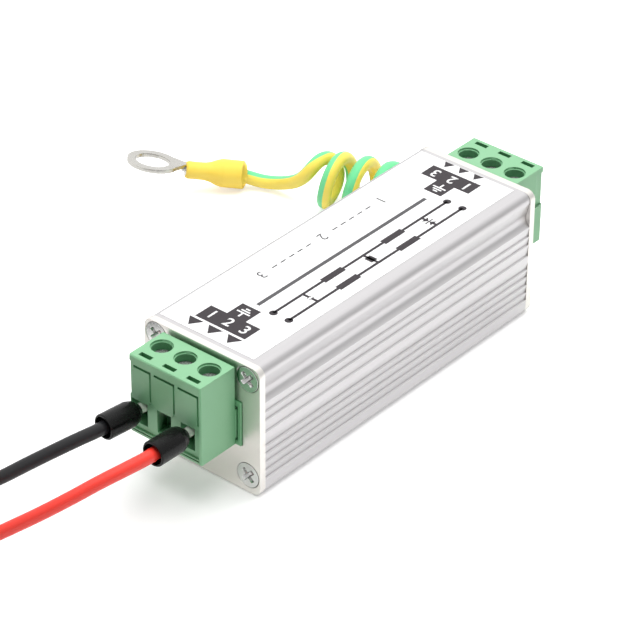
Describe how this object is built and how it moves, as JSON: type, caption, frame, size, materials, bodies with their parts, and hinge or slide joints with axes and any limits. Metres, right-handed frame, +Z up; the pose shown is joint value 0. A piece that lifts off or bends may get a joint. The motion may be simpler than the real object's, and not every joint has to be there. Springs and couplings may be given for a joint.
{
  "type": "in-line data surge protector",
  "caption": "Aluminium in-line surge protector with pluggable screw terminals at both ends, two ferruled output leads and a coiled earth lead with a ring terminal.",
  "frame": {"origin": "middle of the case's base, midway between the end plates", "axes": "+Y from the output end, with the black and the red lead, to the input end; +X to the side away from the earth lead; +Z up out of the label"},
  "size_m": [0.0814, 0.1664, 0.0247],
  "materials": {
    "anodised_aluminium": "satin clear anodised",
    "plated_steel": "zinc plated",
    "label_film": "satin printed film",
    "board_laminate": "solder resist over glass laminate",
    "ceramic_tube": "glazed body with nickel electrodes",
    "fuse_coating": "dipped coating",
    "diode_body": "moulded epoxy",
    "green_polyamide": "moulded, satin",
    "tinned_copper": "tin plated",
    "grommet_rubber": "moulded",
    "earth_insulation": "green with a yellow stripe",
    "sleeve_vinyl": "soft moulded vinyl",
    "black_insulation": "extruded, satin",
    "red_insulation": "extruded, satin",
    "collar_polypropylene": "moulded, satin"
  },
  "bodies": {
    "root": {"upper_shell": "anodised_aluminium", "lower_shell": "anodised_aluminium", "output_end_plate": "anodised_aluminium", "input_end_plate": "anodised_aluminium", "output_plate_screws": "plated_steel", "input_plate_screws": "plated_steel", "label": "label_film", "circuit_board": "board_laminate", "gas_tube": "ceramic_tube", "line_fuse_a": "fuse_coating", "line_fuse_b": "fuse_coating", "clamp_diode_a": "diode_body", "clamp_diode_b": "diode_body", "clamp_diode_c": "diode_body", "output_header": "green_polyamide", "input_header": "green_polyamide", "output_header_pins": "tinned_copper", "input_header_pins": "tinned_copper", "ring_terminal": "tinned_copper", "earth_grommet": "grommet_rubber", "earth_conductor": "earth_insulation", "earth_lead_inner": "earth_insulation", "earth_curl": "earth_insulation", "earth_lead_outer": "earth_insulation", "ring_sleeve": "sleeve_vinyl"},
    "output_plug": {"output_plug": "green_polyamide", "output_contacts": "tinned_copper", "black_ferrule": "tinned_copper", "black_collar": "collar_polypropylene", "black_lead": "black_insulation", "black_coil": "black_insulation", "black_tail": "black_insulation", "black_tail_collar": "collar_polypropylene", "black_tail_ferrule": "tinned_copper", "red_ferrule": "tinned_copper", "red_collar": "collar_polypropylene", "red_lead": "red_insulation", "red_coil": "red_insulation", "red_tail": "red_insulation", "red_tail_collar": "collar_polypropylene", "red_tail_ferrule": "tinned_copper"},
    "output_clamp_screw_1": {"output_clamp_screw_1": "plated_steel"},
    "output_cage_1": {"output_cage_1": "tinned_copper"},
    "output_clamp_screw_2": {"output_clamp_screw_2": "plated_steel"},
    "output_cage_2": {"output_cage_2": "tinned_copper"},
    "output_clamp_screw_3": {"output_clamp_screw_3": "plated_steel"},
    "output_cage_3": {"output_cage_3": "tinned_copper"},
    "input_plug": {"input_plug": "green_polyamide", "input_contacts": "tinned_copper"},
    "input_clamp_screw_1": {"input_clamp_screw_1": "plated_steel"},
    "input_cage_1": {"input_cage_1": "tinned_copper"},
    "input_clamp_screw_2": {"input_clamp_screw_2": "plated_steel"},
    "input_cage_2": {"input_cage_2": "tinned_copper"},
    "input_clamp_screw_3": {"input_clamp_screw_3": "plated_steel"},
    "input_cage_3": {"input_cage_3": "tinned_copper"}
  },
  "joints": [
    {"name": "output_plug_pull", "type": "slide", "parent": "root", "child": "output_plug", "axis": [0, -1, 0], "range_m": [0, 0.012]},
    {"name": "output_clamp_turn_1", "type": "hinge", "parent": "output_plug", "child": "output_clamp_screw_1", "pos_m": [-0.00508, -0.03974, 0.0166], "axis": [0, 0, 1], "range_deg": [0, 1440]},
    {"name": "output_cage_drop_1", "type": "slide", "parent": "output_plug", "child": "output_cage_1", "axis": [0, 0, -1], "range_m": [0, 0.002]},
    {"name": "output_clamp_turn_2", "type": "hinge", "parent": "output_plug", "child": "output_clamp_screw_2", "pos_m": [0, -0.03974, 0.0166], "axis": [0, 0, 1], "range_deg": [0, 1440]},
    {"name": "output_cage_drop_2", "type": "slide", "parent": "output_plug", "child": "output_cage_2", "axis": [0, 0, -1], "range_m": [0, 0.002]},
    {"name": "output_clamp_turn_3", "type": "hinge", "parent": "output_plug", "child": "output_clamp_screw_3", "pos_m": [0.00508, -0.03974, 0.0166], "axis": [0, 0, 1], "range_deg": [0, 1440]},
    {"name": "output_cage_drop_3", "type": "slide", "parent": "output_plug", "child": "output_cage_3", "axis": [0, 0, -1], "range_m": [0, 0.002]},
    {"name": "input_plug_pull", "type": "slide", "parent": "root", "child": "input_plug", "axis": [0, 1, 0], "range_m": [0, 0.012]},
    {"name": "input_clamp_turn_1", "type": "hinge", "parent": "input_plug", "child": "input_clamp_screw_1", "pos_m": [0.00508, 0.03974, 0.0166], "axis": [0, 0, 1], "range_deg": [0, 1440]},
    {"name": "input_cage_drop_1", "type": "slide", "parent": "input_plug", "child": "input_cage_1", "axis": [0, 0, -1], "range_m": [0, 0.002]},
    {"name": "input_clamp_turn_2", "type": "hinge", "parent": "input_plug", "child": "input_clamp_screw_2", "pos_m": [0, 0.03974, 0.0166], "axis": [0, 0, 1], "range_deg": [0, 1440]},
    {"name": "input_cage_drop_2", "type": "slide", "parent": "input_plug", "child": "input_cage_2", "axis": [0, 0, -1], "range_m": [0, 0.002]},
    {"name": "input_clamp_turn_3", "type": "hinge", "parent": "input_plug", "child": "input_clamp_screw_3", "pos_m": [-0.00508, 0.03974, 0.0166], "axis": [0, 0, 1], "range_deg": [0, 1440]},
    {"name": "input_cage_drop_3", "type": "slide", "parent": "input_plug", "child": "input_cage_3", "axis": [0, 0, -1], "range_m": [0, 0.002]}
  ],
  "couplings": [
    {"joint": "output_clamp_turn_1", "follows": "output_cage_drop_1", "rad_per_m": 12560},
    {"joint": "output_clamp_turn_2", "follows": "output_cage_drop_2", "rad_per_m": 12560},
    {"joint": "output_clamp_turn_3", "follows": "output_cage_drop_3", "rad_per_m": 12560},
    {"joint": "input_clamp_turn_1", "follows": "input_cage_drop_1", "rad_per_m": 12560},
    {"joint": "input_clamp_turn_2", "follows": "input_cage_drop_2", "rad_per_m": 12560},
    {"joint": "input_clamp_turn_3", "follows": "input_cage_drop_3", "rad_per_m": 12560}
  ]
}
